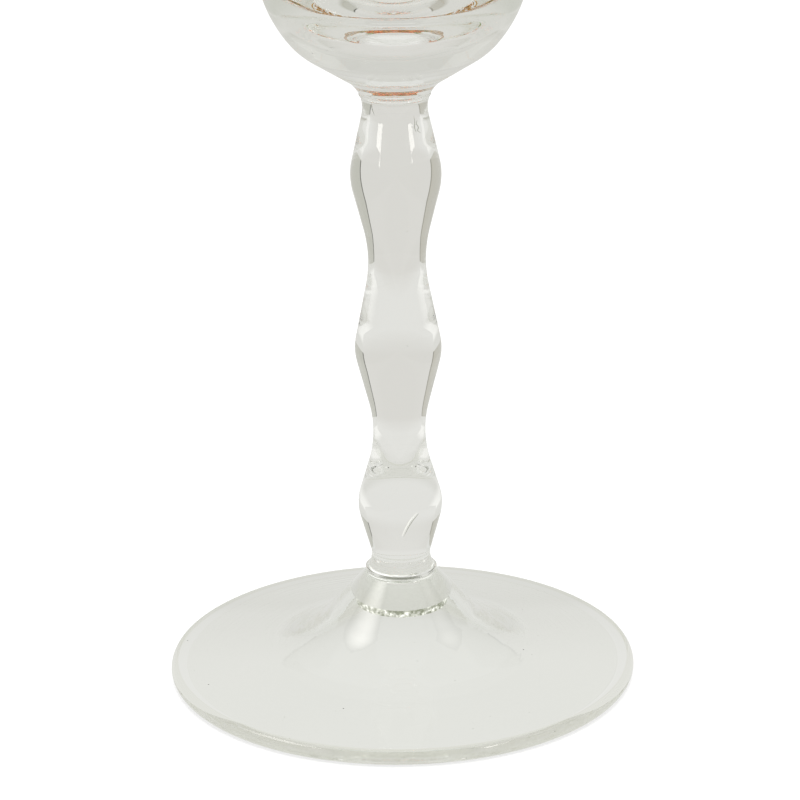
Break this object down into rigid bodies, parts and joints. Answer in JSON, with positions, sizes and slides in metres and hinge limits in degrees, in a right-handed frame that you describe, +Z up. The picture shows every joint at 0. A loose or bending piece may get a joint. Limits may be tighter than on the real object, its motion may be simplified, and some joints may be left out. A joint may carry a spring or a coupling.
{
  "type": "stemmed glass",
  "caption": "Small clear drinking glass with a round-bottomed bowl, a solid knopped stem, a short collar and a wide conical foot.",
  "frame": {"origin": "on the axis of the glass, at the height of the surface that it stands on", "axes": "+Z up along the axis of the glass, from the foot to the rim; the glass is round, so X and Y have no mark on it"},
  "size_m": [0.068, 0.068, 0.14],
  "materials": {
    "bowl_glass": "blown clear soda glass, fire-polished, very slightly grey-green",
    "stem_glass": "solid clear soda glass, tooled hot and fire-polished",
    "foot_glass": "clear soda glass, fire-polished, with a ground pontil scar and a worn resting ring",
    "orange_enamel": "fired glass enamel, orange-red, glossy",
    "green_enamel": "fired glass enamel, leaf green, glossy",
    "gilding": "thin fired gilding, bright"
  },
  "bodies": {
    "root": {"bowl": "bowl_glass", "stem": "stem_glass", "foot_collar": "stem_glass", "foot": "foot_glass"}
  },
  "joints": []
}
